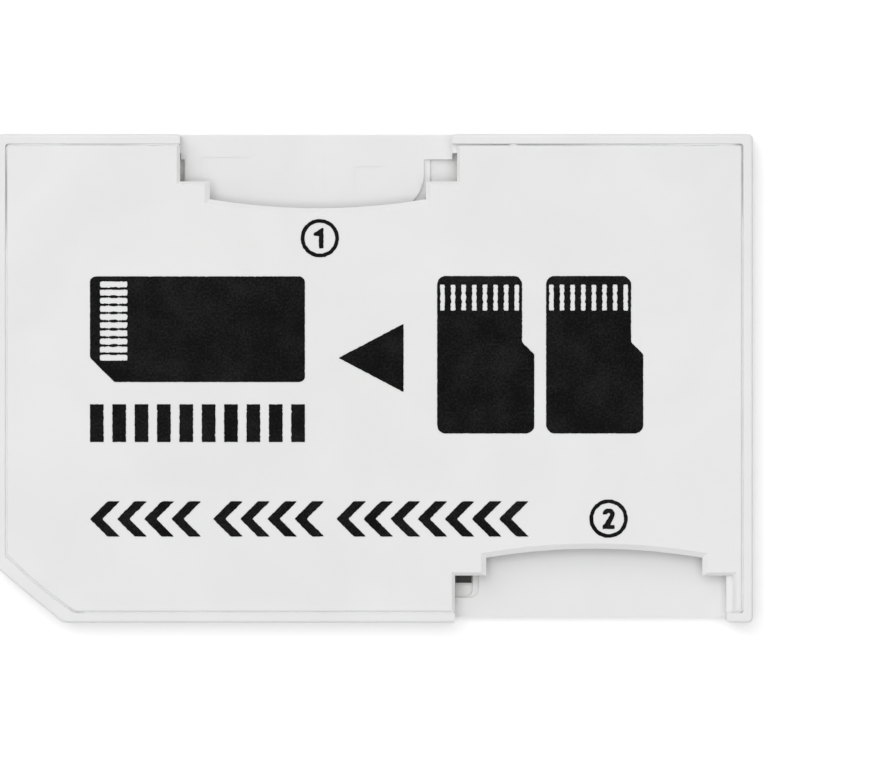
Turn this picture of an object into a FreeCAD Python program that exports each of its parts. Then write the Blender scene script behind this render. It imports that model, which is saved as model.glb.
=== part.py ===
import FreeCAD, Part
import math
import os

# A flat card adapter: a white carrier with the outline of a host memory card. It holds two smaller cards
# side by side, one pushed in from each long edge, and a circuit board that links their contacts to ten host
# contacts. Sizes are in millimetres. The adapter lies on its back with the printed cover up: +X points away
# from the host contacts, +Y to the edge where slot 1 opens, and the origin is the middle of the back face.

# Small cards and the play around them
card_length = 15.0
card_front_width = 9.7
card_front_length = 6.3
card_shoulder_width = 1.3
card_side_clearance = 0.03
card_key_clearance = 0.06
card_recess = 0.10

# Layers from the back face up
floor_thickness = 0.28
board_thickness = 0.30
card_space_height = 0.74
cover_thickness = 0.28

# Side walls: an outer rim that frames the cover, a seam, and a ledge that carries the cover
rim_width = 0.40
seam_gap = 0.06
ledge_width = 0.30
rim_bevel = 0.03
cover_bevel = 0.04

# Space inside the walls that the card bays leave
electronics_width = 6.59
spring_feet_depth = 2.24

# Corners of the outline, one of them clipped. Along it the rim is wider and the seam bows outwards
corner_cut_length = 2.74
corner_cut_width = 2.28
corner_radius = 0.20
cut_corner_radius = 0.60
rim_extra_at_cut = 0.22
seam_bow = 0.08
seam_bow_share = 0.8
seam_corner_radius = 0.40
inner_corner_radius = 0.12
edge_round = 0.12

# Guides that hang from the cover between and beside the card bays
divider_thickness = 0.20
divider_end_thickness = 0.35
guide_rib_thickness = 0.25
rib_to_wall_gap = 0.07
rib_foot_gap = 0.03
rib_end_gap = 0.10

# Cut-outs of the cover at the slot mouths: a wide step for the card's grip and a curved one for a finger
step_depth = 1.93
step_bevel_width = 0.13
step_bevel_depth = 0.13
finger_width = 8.85
finger_end_depth = 2.66
finger_mid_depth = 3.03
finger_bevel_width = 0.22
finger_bevel_depth = 0.15

# Raised floor in the slot mouths: a sill across the mouth and a stepped pad behind it
sill_depth = 1.0
pad_depth = 3.2
pad_gap_outer = 0.10
pad_outer_radius = 0.30
pad_step_width = 0.25
pad_step_drop = 0.14

# The two mouths differ a little: each pair is for slot 1 and slot 2. The flares say how much wider than the
# card bay the opening is, on the side away from the divider and on the side towards it
base_flare_outer = (0.06, 0.0)
base_flare_inner = (0.04, 0.06)
cover_flare_outer = (0.06, 0.28)
cover_flare_inner = (0.23, 0.06)
finger_shift = (0.06, -0.12)
pad_gap_inner = (1.13, 0.92)
pad_inner_radius = (1.60, 0.60)
pocket_radius = (0.05, 0.35)
lip_setback = (0.0, 0.21)
mouth_end_radius_outer = (0.08, 0.20)
mouth_end_radius_inner = (0.08, 0.08)
mouth_at_end_wall = (False, True)

# Faint marks of mould inserts in the floor of slot 1: left and right from the middle of the bay, and their
# near and far edge from the edge of the body
floor_marks = (
    (1.55, 2.65, 1.30, 2.25),
    (0.32, 0.40, 0.86, 2.17),
    (1.02, 1.09, 2.33, 2.75),
    (-4.75, -2.75, 0.91, 1.75),
)
mark_depth = 0.03

# Circuit board
board_clearance = 0.08
board_to_pad_gap = 0.10
board_tab_setback = 1.61
board_tab_gap = 0.05
board_window_behind_stop = 0.60
board_window_side_margin = 0.35
board_window_past_tip = 0.40
board_corner_radius = 0.10

# Pins of the base shell that locate the board
pin_radius = 0.35
pin_hole_clearance = 0.05
pin_inset = 0.90
pin_above_board = 0.12

# Host contacts on the back of the board, each in its own window
host_contact_count = 10
host_contact_pitch = 1.60
host_contact_width = 1.00
host_contact_length = 2.50
host_contact_thickness = 0.03
host_contact_setback = 0.16
host_contact_row_shift = 0.40
host_window_side_gap = 0.13
host_window_end_gap = 0.15

# Contact springs: a foot on the board, a short riser and an arm that rises to its contact point
spring_count = 8
spring_first_inset = 1.00
spring_thickness = 0.10
spring_root_width = 0.44
spring_tip_width = 0.28
spring_bend_radius = 0.22
spring_foot_length = 0.70
spring_root_behind_comb = 1.00
spring_riser_run = 0.25
spring_riser_rise = 0.16
spring_apex_past_stop = 1.80
spring_apex_rise = 0.26
spring_tip_run = 0.55
spring_tip_drop = 0.10

# Combs that guide the springs and stop the cards
comb_depth = 1.90
comb_side_gap = 0.08
comb_roof_gap = 0.02
comb_slot_width = 0.60
comb_slot_height = 0.44
comb_peg_radius = 0.20
comb_peg_inset = 0.35
comb_peg_clearance = 0.04
comb_peg_short = 0.02

# Chip and small parts soldered on top of the board
chip_size = 4.00
chip_height = 0.60
chip_y = 0.60
chip_edge_bevel = 0.08
chip_mark_radius = 0.22
chip_mark_depth = 0.04
chip_mark_inset = 0.55
passive_length = 1.00
passive_width = 0.50
passive_pitch = 0.95
passive_cap_length = 0.22
passive_cap_proud = 0.02
capacitor_count = 4
capacitor_height = 0.50
capacitor_row_y = 5.20
resistor_count = 6
resistor_height = 0.35
resistor_row_y = -4.20

# Ink on the cover
ink_thickness = 0.015
print_left_margin = 3.86
number_ring_radius = 0.785
number_ring_width = 0.155
number_from_notch = 1.23
number_shift = (0.14, -0.70)
digit_height = 0.84
digit_width = 0.50
digit_stroke = 0.19
digit_one_width = 0.40
digit_one_shift = 0.05
digit_one_top_width = 0.08
digit_flag_drop = 0.22
digit_flag_end = 0.10
digit_bowl_end_angle = 35.0
digit_slash_foot_width = 0.27
digit_foot_height = 0.16
host_print_length = 8.80
host_print_from_notch = 2.79
host_print_cut = 1.00
host_print_radius = 0.25
host_print_slot_length = 1.10
host_print_slot_share = 0.72
host_print_slot_inset = 0.42
tick_width = 0.56
tick_height = 1.55
tick_gap_above = 0.905
tick_gap_to_chevrons = 2.42
arrow_gap = 1.37
arrow_length = 2.67
arrow_height = 2.80
arrow_drop = 0.13
small_print_count = 2
small_print_gap_to_arrow = 1.37
small_print_width = 3.98
small_print_spacing = 0.48
small_print_from_notch = 2.775
small_print_gap_to_chevrons = 2.77
small_print_radius = 0.35
small_print_step = 0.50
small_print_slot_length = 1.05
small_print_slot_width = 0.19
small_print_slot_inset = 0.36
chevron_height = 1.45
chevron_stroke = 0.50
chevron_gap_to_number = 2.48
chevron_counts = (4, 4, 7)
chevron_group_gap = 0.60
chevron_from_notch = 1.22

# Levels and places that follow from the sizes above: the outline comes to 31.0 by 20.0, the height to 1.6
board_bottom_z = floor_thickness
board_top_z = board_bottom_z + board_thickness
cover_bottom_z = board_top_z + card_space_height
top_z = cover_bottom_z + cover_thickness
wall_width = rim_width + seam_gap + ledge_width
card_width = card_front_width + card_shoulder_width
bay_width = card_width + 2 * card_side_clearance
bays_width = 2 * bay_width + divider_thickness + 2 * guide_rib_thickness
half_length = (electronics_width + bays_width + rib_to_wall_gap) / 2 + wall_width
half_width = (card_recess + card_length + comb_depth + spring_feet_depth + wall_width) / 2
inner_x = half_length - wall_width
inner_y = half_width - wall_width
divider_x = inner_x - rib_to_wall_gap - guide_rib_thickness - bay_width - divider_thickness / 2

# Each slot is drawn as slot 1, whose mouth faces +Y, and slot 2 is turned half round about the divider
slots = (0, 1)
bay_inner_x = divider_x - divider_thickness / 2
bay_outer_x = bay_inner_x - bay_width
bay_middle_x = (bay_inner_x + bay_outer_x) / 2
stop_y = half_width - card_recess - card_length
step_y = half_width - step_depth
sill_y = half_width - sill_depth
pad_end_y = half_width - pad_depth
finger_end_y = half_width - finger_end_depth
finger_mid_y = half_width - finger_mid_depth
comb_back_y = stop_y - comb_depth
spring_pitch = (card_front_width - 2 * spring_first_inset) / (spring_count - 1)
spring_root_y = comb_back_y - spring_root_behind_comb
spring_apex_y = stop_y + spring_apex_past_stop
spring_tip_y = spring_apex_y + spring_tip_run
rib_outer_x = bay_outer_x - guide_rib_thickness
electronics_x = (rib_outer_x - inner_x) / 2
host_contact_x = -inner_x + board_clearance + host_contact_setback
number_y = finger_mid_y - number_from_notch
number_places = (
    (bay_middle_x + number_shift[0], number_y),
    (2 * divider_x - bay_middle_x - number_shift[1], -number_y),
)
print_left_x = -half_length + print_left_margin
host_print_right_x = print_left_x + host_print_length
arrow_tip_x = host_print_right_x + arrow_gap
small_print_left_x = arrow_tip_x + arrow_length + small_print_gap_to_arrow
chevron_y = -(finger_mid_y - chevron_from_notch)
chevron_row_length = number_places[1][0] - number_ring_radius - chevron_gap_to_number - print_left_x
chevron_length = chevron_height / 2 + chevron_stroke
chevron_gaps_length = chevron_group_gap * (len(chevron_counts) - 1)
chevron_pitch = (chevron_row_length - chevron_length - chevron_gaps_length) / (sum(chevron_counts) - 1)
chevron_top_y = chevron_y + chevron_height / 2
tick_low_y = chevron_top_y + tick_gap_to_chevrons
host_print_low_y = tick_low_y + tick_height + tick_gap_above
host_print_high_y = finger_mid_y - host_print_from_notch
host_print_height = host_print_high_y - host_print_low_y
small_print_low_y = chevron_top_y + small_print_gap_to_chevrons
small_print_high_y = finger_mid_y - small_print_from_notch
small_print_height = small_print_high_y - small_print_low_y
arrow_y = (small_print_low_y + small_print_high_y) / 2 - arrow_drop
beyond = 1.0
same_point = 1e-6


def box(x0, x1, y0, y1, z0, z1):
    return Part.makeBox(x1 - x0, y1 - y0, z1 - z0, FreeCAD.Vector(x0, y0, z0))


def rounded_wire(corners, z=0.0):
    """Closed outline through (x, y, radius) corners, each rounded by a tangent arc."""
    starts, middles, ends = [], [], []
    for i, (x, y, radius) in enumerate(corners):
        here = FreeCAD.Vector(x, y, z)
        last = corners[i - 1]
        following = corners[(i + 1) % len(corners)]
        to_last = (FreeCAD.Vector(last[0], last[1], z) - here).normalize()
        to_next = (FreeCAD.Vector(following[0], following[1], z) - here).normalize()
        half_angle = to_last.getAngle(to_next) / 2
        reach = radius / math.tan(half_angle)
        starts.append(here + to_last * reach)
        ends.append(here + to_next * reach)
        if radius > 0:
            inward = (to_last + to_next).normalize()
            middles.append(here + inward * (radius / math.sin(half_angle) - radius))
        else:
            middles.append(None)
    edges = []
    for i in range(len(corners)):
        if middles[i] is not None:
            edges.append(Part.Arc(starts[i], middles[i], ends[i]).toShape())
        after = starts[(i + 1) % len(corners)]
        if ends[i].distanceToPoint(after) > same_point:
            edges.append(Part.LineSegment(ends[i], after).toShape())
    return Part.Wire(edges)


def slab(corners, z0, z1):
    """Flat plate with a rounded outline between two levels."""
    return Part.Face(rounded_wire(corners, z0)).extrude(FreeCAD.Vector(0, 0, z1 - z0))


def rectangle(x0, x1, y0, y1, radius=0.0):
    return [(x0, y0, radius), (x1, y0, radius), (x1, y1, radius), (x0, y1, radius)]


def body_outline(inset, radius, cut_radius, extra_at_cut=0):
    """Outline of the body with its clipped corner, moved in from the outer edge by inset."""
    x1 = half_length - inset
    y1 = half_width - inset
    moved = (inset + extra_at_cut) * math.hypot(corner_cut_length, corner_cut_width)
    moved -= inset * (corner_cut_length + corner_cut_width)
    return [
        (x1, -y1, radius),
        (x1, y1, radius),
        (-x1, y1, radius),
        (-x1, -y1 + corner_cut_width + moved / corner_cut_length, cut_radius),
        (-x1 + corner_cut_length + moved / corner_cut_width, -y1, cut_radius),
    ]


def seam_outline(inset, radius):
    """Outline along the seam, whose edge at the clipped corner is a long arc with one rounded end."""
    corners = body_outline(inset, radius, 0, rim_extra_at_cut)
    (x0, y0, _), (x1, y1, _) = corners[-2:]
    half_chord = math.hypot(x1 - x0, y1 - y0) / 2
    rise = 2 * seam_bow
    middle_x = (x0 + x1) / 2 + rise * (y1 - y0) / (2 * half_chord)
    middle_y = (y0 + y1) / 2 - rise * (x1 - x0) / (2 * half_chord)
    bow_radius = seam_bow_share * half_chord * half_chord / rise
    corners[-1:] = [(middle_x, middle_y, bow_radius), (x1, y1, seam_corner_radius + rim_width - inset)]
    return corners


def edges_at(shape, z):
    """Edges of a plain plate that lie in the level z."""
    boxes = [(edge, edge.BoundBox) for edge in shape.Edges]
    return [edge for edge, b in boxes if abs(b.ZMin - z) + abs(b.ZMax - z) < same_point]


def turned(slot, shape):
    """Puts what was drawn for slot 1 in the place of a slot."""
    placed = shape.copy()
    if slot == 1:
        placed.rotate(FreeCAD.Vector(divider_x, 0, 0), FreeCAD.Vector(0, 0, 1), 180)
    return placed


def joined(shapes):
    return shapes[0].fuse(shapes[1:]).removeSplitter() if len(shapes) > 1 else shapes[0]


def raised_floor(slot, step, top):
    """Floor of a mouth up to a level: a sill, and a pad grown by step with a pocket beside it."""
    outer = bay_outer_x - base_flare_outer[slot]
    inner = bay_inner_x + base_flare_inner[slot]
    pad_inner = bay_inner_x - pad_gap_inner[slot] + step
    corners = [(inner, half_width, 0), (outer, half_width, 0)]
    if mouth_at_end_wall[slot]:
        corners.append((outer, pad_end_y - step, 0))
    else:
        pad_outer = bay_outer_x + pad_gap_outer
        corners.append((outer, sill_y, 0))
        corners.append((pad_outer, sill_y, 0))
        corners.append((pad_outer, pad_end_y - step, pad_outer_radius))
    corners.append((pad_inner, pad_end_y - step, pad_inner_radius[slot]))
    corners.append((pad_inner, sill_y, pocket_radius[slot]))
    corners.append((inner, sill_y, 0))
    return slab(corners, 0, top)


def mouth_cut(slot, depth, z0, z1):
    """Opening of a mouth from the outer edge in, between two levels, with rounded ends on the rim."""
    outer = bay_outer_x - base_flare_outer[slot]
    inner = bay_inner_x + base_flare_inner[slot]
    outer_radius = min(mouth_end_radius_outer[slot], depth)
    inner_radius = min(mouth_end_radius_inner[slot], depth)
    corners = [
        (outer, half_width - depth, 0),
        (inner, half_width - depth, 0),
        (inner, half_width, inner_radius),
        (inner + 2 * inner_radius, half_width, 0),
        (inner + 2 * inner_radius, half_width + beyond, 0),
        (outer - 2 * outer_radius, half_width + beyond, 0),
        (outer - 2 * outer_radius, half_width, 0),
        (outer, half_width, outer_radius),
    ]
    return slab(corners, z0, z1)


def mouth_cheek(slot):
    """Block beside a mouth that fills the gap between card bay and end wall."""
    outer = bay_outer_x - base_flare_outer[slot]
    wall = outer - guide_rib_thickness - rib_to_wall_gap
    return box(wall - ledge_width, outer, step_y, inner_y + ledge_width, board_bottom_z, cover_bottom_z)


def board_pins():
    """Places of the pins that locate the board."""
    y = inner_y - pin_inset
    return [
        (host_contact_x + host_contact_length + pin_inset, y),
        (rib_outer_x - pin_inset, -y),
        (inner_x - pin_inset, y),
    ]


def host_contact_y(i):
    return host_contact_row_shift + host_contact_pitch * ((host_contact_count - 1) / 2 - i)


def host_window(i):
    half = host_contact_width / 2 + host_window_side_gap
    y = host_contact_y(i)
    return box(-half_length - beyond, host_contact_x + host_contact_length + host_window_end_gap,
               y - half, y + half, -beyond, floor_thickness)


def base_shell():
    """Back, walls and rim in one moulding."""
    block = slab(body_outline(0, corner_radius, cut_corner_radius), 0, top_z)
    block = block.makeFillet(edge_round, edges_at(block, top_z) + edges_at(block, 0))
    frame = slab(seam_outline(rim_width, inner_corner_radius), cover_bottom_z, top_z)
    bevel = Part.makeLoft([
        rounded_wire(seam_outline(rim_width, inner_corner_radius), top_z - rim_bevel),
        rounded_wire(seam_outline(rim_width - rim_bevel, inner_corner_radius + rim_bevel), top_z),
    ], True, True)
    hollow = slab(body_outline(wall_width, inner_corner_radius, 0), board_bottom_z, top_z)
    pieces = [block.cut([frame, bevel, hollow])]
    cuts = []
    for slot in slots:
        floor = raised_floor(slot, 0, board_top_z)
        step = raised_floor(slot, pad_step_width, board_top_z - pad_step_drop)
        pieces.append(turned(slot, floor.fuse(step)).common(block))
        if mouth_at_end_wall[slot]:
            pieces.append(turned(slot, mouth_cheek(slot)))
        cuts.append(turned(slot, mouth_cut(slot, step_depth, board_top_z, top_z + beyond)))
        if lip_setback[slot] > 0:
            cuts.append(turned(slot, mouth_cut(slot, lip_setback[slot], -beyond, board_top_z + beyond)))
    for x, y in board_pins():
        height = board_thickness + pin_above_board
        pieces.append(Part.makeCylinder(pin_radius, height, FreeCAD.Vector(x, y, board_bottom_z)))
    for left, right, near, far in floor_marks:
        cuts.append(box(bay_middle_x + left, bay_middle_x + right, half_width - far, half_width - near,
                        board_top_z - mark_depth, board_top_z + beyond))
    cuts += [host_window(i) for i in range(host_contact_count)]
    return joined(pieces).cut(cuts)


def finger_outline(slot, grow, z):
    """Outline of the finger cut: two straight sides and a shallow arc, grown by the width of a bevel."""
    middle = bay_middle_x + finger_shift[slot]
    sagitta = finger_end_y - finger_mid_y
    radius = ((finger_width / 2) ** 2 + sagitta ** 2) / (2 * sagitta)
    centre_y = finger_mid_y + radius
    left = middle - finger_width / 2 - grow
    right = middle + finger_width / 2 + grow
    end_y = centre_y - math.sqrt((radius + grow) ** 2 - (right - middle) ** 2)
    ends = [FreeCAD.Vector(left, half_width, z), FreeCAD.Vector(left, end_y, z),
            FreeCAD.Vector(right, end_y, z), FreeCAD.Vector(right, half_width, z)]
    deepest = FreeCAD.Vector(middle, centre_y - radius - grow, z)
    return Part.Wire([
        Part.LineSegment(ends[0], ends[1]).toShape(),
        Part.Arc(ends[1], deepest, ends[2]).toShape(),
        Part.LineSegment(ends[2], ends[3]).toShape(),
        Part.LineSegment(ends[3], ends[0]).toShape(),
    ])


def step_outline(slot, grow, z):
    """Outline of the wide cut, which takes the thick end of a card."""
    return rounded_wire(rectangle(bay_outer_x - cover_flare_outer[slot] - grow,
                                  bay_inner_x + cover_flare_inner[slot] + grow,
                                  step_y - grow, half_width + beyond), z)


def bevelled_cut(outline, slot, width, depth):
    """Cut through the cover along an outline, wider at the top by a bevel."""
    through = Part.Face(outline(slot, 0, 0)).extrude(FreeCAD.Vector(0, 0, top_z + beyond))
    bevel = Part.makeLoft([outline(slot, 0, top_z - depth), outline(slot, width, top_z)], True, True)
    return [through, bevel]


def bay_guides(slot):
    """Rib on the outer side of a bay, the key for the card's narrow front, and a post beside the mouth."""
    foot_z = board_top_z + rib_foot_gap
    rib = box(rib_outer_x, bay_outer_x, -inner_y + rib_end_gap, step_y - rib_end_gap, foot_z, cover_bottom_z)
    key_x = bay_inner_x - card_side_clearance - card_front_width - card_key_clearance
    key = box(rib_outer_x, key_x, stop_y + rib_end_gap, stop_y + card_front_length, foot_z, cover_bottom_z)
    post_x = bay_inner_x + cover_flare_inner[slot]
    post = box(post_x, max(post_x, divider_x) + divider_end_thickness, step_y - 2 * rib_end_gap,
               inner_y - rib_end_gap, foot_z, cover_bottom_z)
    return [rib, key, post]


def top_cover():
    """Cover plate set into the rim, with the bay guides under it."""
    plate = slab(seam_outline(rim_width + seam_gap, inner_corner_radius), cover_bottom_z, top_z)
    plate = plate.makeChamfer(cover_bevel, edges_at(plate, top_z))
    cuts, guides = [], []
    for slot in slots:
        for tool in (bevelled_cut(step_outline, slot, step_bevel_width, step_bevel_depth)
                     + bevelled_cut(finger_outline, slot, finger_bevel_width, finger_bevel_depth)):
            cuts.append(turned(slot, tool))
        guides += [turned(slot, guide) for guide in bay_guides(slot)]
    half_divider = step_y - rib_end_gap
    guides.append(box(divider_x - divider_thickness / 2, divider_x + divider_thickness / 2,
                      -half_divider, half_divider, board_top_z + rib_foot_gap, cover_bottom_z))
    return joined([plate.cut(cuts)] + guides)


def spring_x(i):
    return bay_inner_x - card_side_clearance - spring_first_inset - spring_pitch * i


def comb_peg_places():
    y = stop_y - comb_depth / 2
    right = bay_inner_x - comb_side_gap - comb_peg_inset
    left = spring_x(spring_count - 1) - (right - spring_x(0))
    return [(left, y), (right, y)]


def circuit_board():
    """Board under both bays, cut back round the raised floors, with a tab in the pocket of slot 2."""
    outline = body_outline(wall_width + board_clearance, board_corner_radius, 0)
    cuts = []
    for slot in slots:
        outer_flare = beyond if mouth_at_end_wall[slot] else base_flare_outer[slot]
        inner_flare = max(base_flare_inner[slot], cover_flare_inner[slot])
        floor_end_y = pad_end_y - pad_step_width - board_to_pad_gap
        floor_room = rectangle(bay_outer_x - outer_flare - board_to_pad_gap,
                               bay_inner_x + inner_flare + board_to_pad_gap,
                               floor_end_y, half_width, board_corner_radius)
        spring_room = rectangle(spring_x(spring_count - 1) - board_window_side_margin,
                                spring_x(0) + board_window_side_margin, stop_y - board_window_behind_stop,
                                spring_tip_y + board_window_past_tip, board_corner_radius)
        cuts.append(turned(slot, slab(floor_room, 0, top_z)))
        cuts.append(turned(slot, slab(spring_room, 0, top_z)))
        for x, y in comb_peg_places():
            hole = Part.makeCylinder(comb_peg_radius + comb_peg_clearance, top_z, FreeCAD.Vector(x, y, 0))
            cuts.append(turned(slot, hole))
    for x, y in board_pins():
        cuts.append(Part.makeCylinder(pin_radius + pin_hole_clearance, top_z, FreeCAD.Vector(x, y, 0)))
    tab_inner = bay_inner_x + base_flare_inner[1] - board_tab_gap
    tab_outer = bay_inner_x - pad_gap_inner[1] + pad_step_width + board_tab_gap
    tab_end = half_width - board_tab_setback
    tab = box(tab_outer, tab_inner, pad_end_y - pad_step_width - 2 * board_to_pad_gap, tab_end,
              board_bottom_z, board_top_z)
    return joined([slab(outline, board_bottom_z, board_top_z).cut(cuts), turned(1, tab)])


def host_contact(i):
    """Gilded pad on the back of the board."""
    y = host_contact_y(i)
    half = host_contact_width / 2
    corners = rectangle(host_contact_x, host_contact_x + host_contact_length, y - half, y + half,
                        board_corner_radius)
    return slab(corners, board_bottom_z - host_contact_thickness, board_bottom_z)


def strip_outline(line):
    """Outline of a bent strip about its centre line, with concentric arcs inside and outside each bend."""
    points = [FreeCAD.Vector(y, z, 0) for y, z in line]
    runs = [(points[i + 1] - points[i]).normalize() for i in range(len(points) - 1)]
    left, right = [], []
    for i, here in enumerate(points):
        coming = runs[max(i - 1, 0)]
        going = runs[min(i, len(runs) - 1)]
        across = FreeCAD.Vector(-coming.y - going.y, coming.x + going.x, 0)
        across = across * (spring_thickness / across.dot(across))
        turn = coming.cross(going).z
        inside = spring_bend_radius - spring_thickness / 2 if turn else 0
        outside = spring_bend_radius + spring_thickness / 2 if turn else 0
        left.append((here.x + across.x, here.y + across.y, inside if turn > 0 else outside))
        right.append((here.x - across.x, here.y - across.y, outside if turn > 0 else inside))
    return left + right[::-1]


def contact_spring(i):
    """Bent strip of one contact, tapered towards its tip."""
    foot_z = board_top_z + spring_thickness / 2
    apex_z = foot_z + spring_apex_rise
    riser_end_y = spring_root_y + spring_riser_run
    foot_end_y = spring_root_y - spring_foot_length
    line = [
        (foot_end_y, foot_z),
        (spring_root_y, foot_z),
        (riser_end_y, foot_z + spring_riser_rise),
        (spring_apex_y, apex_z),
        (spring_tip_y, apex_z - spring_tip_drop),
    ]
    side = Part.Face(rounded_wire(strip_outline(line)))
    side.rotate(FreeCAD.Vector(0, 0, 0), FreeCAD.Vector(1, 0, 0), 90)
    side.rotate(FreeCAD.Vector(0, 0, 0), FreeCAD.Vector(0, 0, 1), 90)
    x = spring_x(i)
    root = spring_root_width / 2
    tip = spring_tip_width / 2
    side.translate(FreeCAD.Vector(x - root, 0, 0))
    plan = [
        (x - root, foot_end_y - spring_thickness, 0),
        (x + root, foot_end_y - spring_thickness, 0),
        (x + root, riser_end_y, 0),
        (x + tip, spring_tip_y + spring_thickness, 0),
        (x - tip, spring_tip_y + spring_thickness, 0),
        (x - root, riser_end_y, 0),
    ]
    return side.extrude(FreeCAD.Vector(spring_root_width, 0, 0)).common(slab(plan, 0, top_z))


def contact_comb():
    """Block across a bay, slotted for the springs, whose front stops the card."""
    block = box(bay_outer_x + comb_side_gap, bay_inner_x - comb_side_gap, comb_back_y, stop_y,
                board_top_z, cover_bottom_z - comb_roof_gap)
    half = comb_slot_width / 2
    grooves = []
    for i in range(spring_count):
        x = spring_x(i)
        grooves.append(box(x - half, x + half, comb_back_y - beyond, stop_y + beyond,
                           board_top_z - beyond, board_top_z + comb_slot_height))
    pegs = []
    for x, y in comb_peg_places():
        length = board_thickness - comb_peg_short
        pegs.append(Part.makeCylinder(comb_peg_radius, length, FreeCAD.Vector(x, y, board_top_z - length)))
    return joined([block.cut(grooves)] + pegs)


def controller_chip():
    """Moulded chip with a round mark at its first pin."""
    half = chip_size / 2
    body = slab(rectangle(electronics_x - half, electronics_x + half, chip_y - half, chip_y + half),
                board_top_z, board_top_z + chip_height)
    body = body.makeChamfer(chip_edge_bevel, edges_at(body, board_top_z + chip_height))
    mark_x = electronics_x - half + chip_mark_inset
    mark_y = chip_y + half - chip_mark_inset
    mark_z = board_top_z + chip_height - chip_mark_depth
    return body.cut(Part.makeCylinder(chip_mark_radius, beyond, FreeCAD.Vector(mark_x, mark_y, mark_z)))


def passive(i, count, row_y, height):
    """Small soldered part with a metal cap at each end, in a row of its kind."""
    x = electronics_x + passive_pitch * (i - (count - 1) / 2)
    half_x = passive_width / 2
    half_y = passive_length / 2
    core_half_x = half_x - passive_cap_proud
    core = box(x - core_half_x, x + core_half_x, row_y - half_y, row_y + half_y,
               board_top_z, board_top_z + height - passive_cap_proud)
    caps = [
        box(x - half_x, x + half_x, row_y - half_y, row_y - half_y + passive_cap_length,
            board_top_z, board_top_z + height),
        box(x - half_x, x + half_x, row_y + half_y - passive_cap_length, row_y + half_y,
            board_top_z, board_top_z + height),
    ]
    return joined([core] + caps)


def ink(corners):
    return slab(corners, top_z, top_z + ink_thickness)


def ink_disc(x, y, radius):
    return Part.makeCylinder(radius, ink_thickness, FreeCAD.Vector(x, y, top_z))


def digit_one(x, y):
    half = digit_height / 2
    left = x - digit_one_shift - digit_one_width / 2
    right = left + digit_one_width
    flag_low = y + half - digit_flag_drop - digit_flag_end
    return ink([
        (right, y - half, 0),
        (right, y + half, 0),
        (right - digit_one_top_width, y + half, 0),
        (left, flag_low + digit_flag_end, 0),
        (left, flag_low, 0),
        (right - digit_stroke, flag_low, 0),
        (right - digit_stroke, y - half, 0),
    ])


def digit_two(x, y):
    half = digit_height / 2
    radius = digit_width / 2
    inner = radius - digit_stroke
    bowl_y = y + half - radius
    lower = -math.radians(digit_bowl_end_angle)
    bowl = ink_disc(x, bowl_y, radius).cut(ink_disc(x, bowl_y, inner))
    open_side = ink([
        (x - 2 * radius, bowl_y, 0),
        (x, bowl_y, 0),
        (x + 2 * radius * math.cos(lower), bowl_y + 2 * radius * math.sin(lower), 0),
        (x + 2 * radius, bowl_y - 2 * radius, 0),
        (x - 2 * radius, bowl_y - 2 * radius, 0),
    ])
    foot_y = y - half + digit_foot_height / 2
    slash = ink([
        (x + radius * math.cos(lower), bowl_y + radius * math.sin(lower), 0),
        (x + inner * math.cos(lower), bowl_y + inner * math.sin(lower), 0),
        (x - radius, foot_y, 0),
        (x - radius + digit_slash_foot_width, foot_y, 0),
    ])
    foot = ink(rectangle(x - radius, x + radius, y - half, y - half + digit_foot_height))
    return joined([bowl.cut(open_side), slash, foot])


def number_print(slot, digit):
    """Circled number beside the mouth of a slot."""
    x, y = number_places[slot]
    ring = ink_disc(x, y, number_ring_radius).cut(ink_disc(x, y, number_ring_radius - number_ring_width))
    return Part.makeCompound([ring, digit(x, y)])


def host_card_print():
    """Picture of a host card: a block with one corner clipped and a row of contacts at its left end."""
    low = host_print_low_y
    high = host_print_high_y
    radius = host_print_radius
    card = ink([
        (host_print_right_x, low, radius),
        (host_print_right_x, high, radius),
        (print_left_x, high, radius),
        (print_left_x, low + host_print_cut, 0),
        (print_left_x + host_print_cut, low, 0),
    ])
    pitch = (host_print_height - host_print_cut) / host_contact_count
    half = pitch * host_print_slot_share / 2
    left = print_left_x + host_print_slot_inset
    bars = []
    for i in range(host_contact_count):
        y = high - pitch * (i + 1)
        bars.append(ink(rectangle(left, left + host_print_slot_length, y - half, y + half)))
    return card.cut(bars)


def tick_print():
    """Row of bars under the host card, one for each host contact."""
    pitch = (host_print_length - tick_width) / (host_contact_count - 1)
    bars = []
    for i in range(host_contact_count):
        x = print_left_x + pitch * i
        bars.append(ink(rectangle(x, x + tick_width, tick_low_y, tick_low_y + tick_height)))
    return Part.makeCompound(bars)


def arrow_print():
    """Triangle that points to the end that goes into the host."""
    return ink([
        (arrow_tip_x, arrow_y, 0),
        (arrow_tip_x + arrow_length, arrow_y - arrow_height / 2, 0),
        (arrow_tip_x + arrow_length, arrow_y + arrow_height / 2, 0),
    ])


def small_card_print(i):
    """Picture of a small card: a narrow front with a row of contacts, and a step at one side."""
    left = small_print_left_x + (small_print_width + small_print_spacing) * i
    right = left + small_print_width
    low = small_print_low_y
    high = small_print_high_y
    step_from_top = small_print_height * card_front_length / card_length
    radius = small_print_radius
    card = ink([
        (left, low, radius),
        (right, low, radius),
        (right, high - step_from_top - small_print_step, 0),
        (right - small_print_step, high - step_from_top, 0),
        (right - small_print_step, high, radius),
        (left, high, radius),
    ])
    pitch = (small_print_width - small_print_step) / spring_count
    top = high - small_print_slot_inset
    bars = []
    for k in range(spring_count):
        x = left + pitch * (k + 0.5)
        bars.append(ink(rectangle(x - small_print_slot_width / 2, x + small_print_slot_width / 2,
                                  top - small_print_slot_length, top)))
    return card.cut(bars)


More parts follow.
